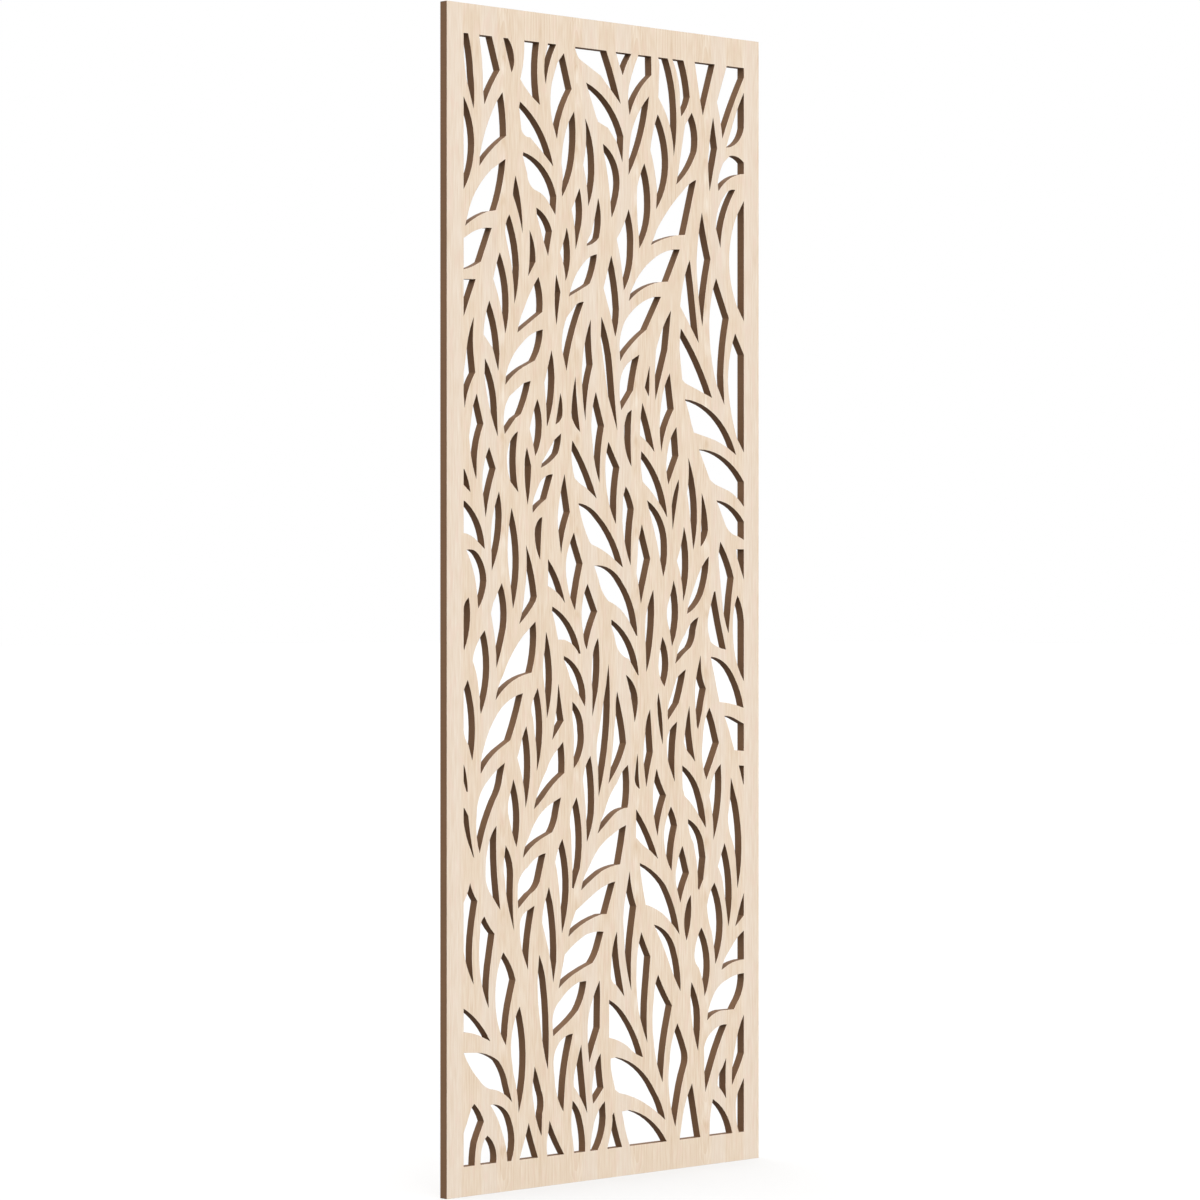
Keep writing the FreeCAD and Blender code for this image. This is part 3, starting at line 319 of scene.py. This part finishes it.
def cut_edge(tree, place):
    """The brown of a cut edge, its roughness and its height.

    The board is pressed fibre, so its edge is an even brown, with specks of lighter and
    darker fibre, faint marks left across it by the cutting, and a soft drift of tone.
    """
    plain_roughness, speck_roughness = 0.78, 0.2
    speck_height, mark_height = 0.6, 0.4
    grain, noises = layered(tree, place, edge_grain)
    specks = noises["specks"]
    brown = mixed(tree, middle_tone + grain, dark_fibre, light_fibre)
    height = speck_height * specks + mark_height * noises["cutter_marks"]
    return brown, plain_roughness + speck_roughness * specks, height


def heart_figure(tree, matched, from_seam, along):
    """How much lighter or darker the heart of a leaf is, in its marks and the rings round it.

    The marks bow down on both sides of the heart. The rings close towards the panel's ends,
    where they show most.
    """
    heart_wander, mark_wander, ring_wander = 6.0, 5.0, 1.5
    mark_lean, mark_bow = 5.0, 0.2
    ring_tip, ring_middle = 6.0, 0.5
    ring_depth, more_at_ends = 0.08, 0.2

    wobble = stretched_noise(tree, matched, *heart_wander_noise)
    lean = stretched_noise(tree, matched, *mark_lean_noise)
    off_heart = from_seam - heart_from_seam + heart_wander * wobble
    panel_height = (cad_box[1].z - cad_box[0].z) * mm_per_metre
    bow = off_heart * (mark_lean * lean - mark_bow * off_heart)
    down = panel_height - along - first_mark_from_top + bow + mark_wander * wobble
    in_repeat = (down / heart_repeat).maths("FRACT") * heart_repeat
    half_repeat = heart_repeat / 2
    marks = 0.0
    for place_down, half_height, lighter in heart_marks:
        to_mark = (in_repeat - place_down + half_repeat).maths("WRAP", heart_repeat, 0.0)
        marks = marks + lighter * swell(to_mark, half_repeat, half_height)
    marks = marks * swell(off_heart, 0.0, heart_half_width)

    from_heart = (off_heart * off_heart + ring_tip).maths("SQRT")
    from_middle = abs(along - panel_height / 2)
    ring_count = rings_across * from_heart + rings_along * from_middle + ring_wander * wobble
    depth = ring_depth + more_at_ends * between(tree, from_middle, rings_grow, rings_clear)
    rings = (ring_middle - ring_count.maths("FRACT")) * depth
    return marks + rings * swell(off_heart, 0.0, rings_half_width)


def veneer_figure(tree, place, depth_shift):
    """How light the veneer is, about 0.5, how cool it is, and the height of its fibres.

    The figure is mirrored at each seam: soft bands, a pale cool streak near one edge of the
    leaf, the heart near its middle, and straight grain all over with dark flecks in it.
    """
    fleck_start, fleck_full, fleck_depth = 0.2, 0.3, 0.12
    fibre_height, strand_height, fleck_height = 0.7, 0.3, 0.5

    across, through, along = split(tree, place)
    from_seam = (across - first_seam_from_left).maths("PINGPONG", leaf_width)
    parts = [from_seam, through + depth_shift, along]
    matched = tree.node("ShaderNodeCombineXYZ", {}, parts)

    bands = 0.0
    for middle, half_width, lighter in leaf_bands:
        bands = bands + lighter * swell(from_seam, middle, half_width)
    heart = heart_figure(tree, matched, from_seam, along)
    grain, noises = layered(tree, matched, veneer_grain)
    specks = stretched_noise(tree, matched, *fleck_noise)
    flecks = between(tree, specks, fleck_start, fleck_full)

    tone = middle_tone + bands + heart + grain - fleck_depth * flecks
    faded = between(tree, from_seam, cool_fade, cool_end)
    cool = between(tree, from_seam, cool_start, cool_full) * (1 - faded)
    height = (
        fibre_height * noises["fibres"] + strand_height * noises["strands"]
        - fleck_height * flecks
    )
    return tone, cool, height


def seam_lines(tree, place):
    """1 on the hairline where two leaves meet, and 0 away from it."""
    line_edge, clear_of_line = 0.08, 0.3
    across = split(tree, place)[0]
    to_seam = (across - first_seam_from_left).maths("PINGPONG", leaf_width / 2)
    return 1 - between(tree, to_seam, line_edge, clear_of_line)


def finish_with(tree, kind, surface):
    """Links a shader to the output of a material or of the world."""
    tree.node(kind, {}, {"Surface": surface}, take=None)


def finish_wood(tree, base, roughness, height, rounded):
    """Ends a material in one matt wood shader."""
    bump_strength, bump_depth, gloss = 0.35, 0.1, 0.15
    inputs = {
        "Strength": bump_strength,
        "Distance": bump_depth / mm_per_metre,
        "Height": height,
        "Normal": rounded,
    }
    bumped = tree.node("ShaderNodeBump", {}, inputs)
    inputs = {
        "Base Color": base,
        "Roughness": roughness,
        "Normal": bumped,
        "Specular IOR Level": gloss,
    }
    wood = tree.node("ShaderNodeBsdfPrincipled", {}, inputs)
    finish_with(tree, "ShaderNodeOutputMaterial", wood)


def board_material():
    """Bare fibreboard, which shows only at its cut edges."""
    arris_radius, wear = 0.35, 0.3
    material, tree = new_material("fibreboard_edge")
    brown, roughness, height = cut_edge(tree, panel_place(tree))
    rounded, worn = arris(tree, arris_radius)
    base = mixed(tree, worn * wear, brown, corner_of_board)
    finish_wood(tree, base, roughness, height, rounded)
    return material


def veneer_material(name, depth_shift):
    """Pale sanded veneer, with the brown of the cut edge where the cutter went through it."""
    cool_share, pink_share, seam_share = 0.25, 0.25, 0.12
    arris_radius, wear = 0.3, 0.4
    side_on, face_on = 0.4, 0.6
    plain_roughness, pale_smoothness = 0.62, 0.12
    blush_start, blush_full = 0.0, 0.2

    material, tree = new_material(name)
    place = panel_place(tree)
    tone, cool, face_height = veneer_figure(tree, place, depth_shift)
    wood = mixed(tree, tone, deep_wood, pale_wood)
    wood = mixed(tree, cool * cool_share, wood, cool_wood)
    clouds = stretched_noise(tree, place, *blush_noise)
    blush = between(tree, clouds, blush_start, blush_full)
    wood = mixed(tree, blush * pink_share, wood, pink_wood)
    seam = seam_lines(tree, place)
    wood = mixed(tree, seam * seam_share, wood, seam_brown)
    rounded, worn = arris(tree, arris_radius)
    wood = mixed(tree, worn * (1 - seam) * wear, wood, corner_of_veneer)

    brown, edge_roughness, edge_height = cut_edge(tree, place)
    facing = split(tree, surface_direction(tree))[1]
    on_face = between(tree, abs(facing), side_on, face_on)
    base = mixed(tree, on_face, brown, wood)
    face_roughness = plain_roughness - pale_smoothness * tone
    roughness = edge_roughness + on_face * (face_roughness - edge_roughness)
    height = edge_height + on_face * (face_height - edge_height)
    finish_wood(tree, base, roughness, height, rounded)
    return material


def dress_panel():
    """Gives every node of the panel its finish."""
    grain_shift_of_back = 60.0
    board = board_material()
    front = veneer_material("front_veneer", 0.0)
    back = veneer_material("back_veneer", grain_shift_of_back)
    for name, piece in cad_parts.items():
        if name == "core_board":
            finish = board
        elif name.startswith("front_veneer"):
            finish = front
        else:
            finish = back
        piece.data.materials.clear()
        piece.data.materials.append(finish)


def seen_directly(tree):
    """1 for what the camera sees, also in gloss and through glass, and 0 for other light."""
    rays = ["Is Camera Ray", "Is Glossy Ray", "Is Transmission Ray"]
    camera_ray, glossy_ray, clear_ray = tree.node("ShaderNodeLightPath", take=rays)
    return camera_ray.maths("MAXIMUM", glossy_ray).maths("MAXIMUM", clear_ray)


def add_floor():
    """A pale floor that is seen nearly white, with the panel's shadow on it."""
    half_side = 40.0
    level_for_bounced_light, level_seen = 0.15, 0.9
    glow_strength, glow_share = 0.8, 0.65

    grid = bmesh.new()
    bmesh.ops.create_grid(grid, x_segments=1, y_segments=1, size=half_side)
    for vertex in grid.verts:
        vertex.co.z = cad_box[0].z
    mesh = bpy.data.meshes.new("studio_floor")
    grid.to_mesh(mesh)
    grid.free()
    floor = bpy.data.objects.new("studio_floor", mesh)
    bpy.context.scene.collection.objects.link(floor)

    material, tree = new_material("studio_floor")
    seen = seen_directly(tree)
    tint = mixed(tree, seen, grey(level_for_bounced_light), grey(level_seen))
    paint = tree.node("ShaderNodeBsdfDiffuse", {}, {"Color": tint})
    glow = tree.node("ShaderNodeEmission", {}, {"Strength": glow_strength})
    floor_look = tree.node("ShaderNodeMixShader", {}, [seen * glow_share, paint, glow])
    finish_with(tree, "ShaderNodeOutputMaterial", floor_look)
    mesh.materials.append(material)


def add_surroundings():
    """Even light from all round, seen as plain white."""
    light_strength, white_strength = 1.22, 1.0
    world = bpy.data.worlds.new("studio")
    bpy.context.scene.world = world
    world.use_nodes = True
    tree = Tree(world.node_tree)
    white = grey(1.0)
    inputs = {"Color": white, "Strength": light_strength}
    light = tree.node("ShaderNodeBackground", {}, inputs)
    inputs = {"Color": white, "Strength": white_strength}
    background = tree.node("ShaderNodeBackground", {}, inputs)
    surroundings = [seen_directly(tree), light, background]
    shown = tree.node("ShaderNodeMixShader", {}, surroundings)
    finish_with(tree, "ShaderNodeOutputWorld", shown)


def add_lamp(name, to_the_right, up, strength, spread):
    """A far soft lamp that shines at the panel."""
    turn = math.radians(to_the_right)
    height = math.radians(up)
    travel = Vector((
        -math.sin(turn) * math.cos(height),
        math.cos(turn) * math.cos(height),
        -math.sin(height),
    ))
    data = bpy.data.lights.new(name, "SUN")
    data.energy = strength
    data.angle = math.radians(spread)
    lamp = bpy.data.objects.new(name, data)
    lamp.rotation_euler = travel.to_track_quat("-Z", "Y").to_euler()
    bpy.context.scene.collection.objects.link(lamp)


def add_camera():
    """A level camera that puts the panel's left front edge where it is in the photograph."""
    low, high = cad_box
    forward = Vector((math.sin(view_turn), math.cos(view_turn), 0.0))
    right = Vector((math.cos(view_turn), -math.sin(view_turn), 0.0))
    metres_per_px = (high.z - low.z) / (left_edge_bottom_px - left_edge_top_px)
    distance = focal_length_px * metres_per_px
    centre_px = photo_side_px / 2
    sideways = (left_edge_px - centre_px) * metres_per_px
    eye_height = (left_edge_bottom_px - centre_px) * metres_per_px
    data = bpy.data.cameras.new("photo_camera")
    data.sensor_width = sensor_width
    data.lens = focal_length_px / photo_side_px * sensor_width
    camera = bpy.data.objects.new("photo_camera", data)
    camera.location = Vector(low) - forward * distance - right * sideways
    camera.location.z = low.z + eye_height
    camera.rotation_euler = forward.to_track_quat("-Z", "Y").to_euler()
    bpy.context.scene.collection.objects.link(camera)
    bpy.context.scene.camera = camera


dress_panel()
add_floor()
add_surroundings()
for lamp_name, lamp_facts in lamps.items():
    add_lamp(lamp_name, *lamp_facts)
add_camera()
bpy.context.scene.view_settings.view_transform = "Standard"
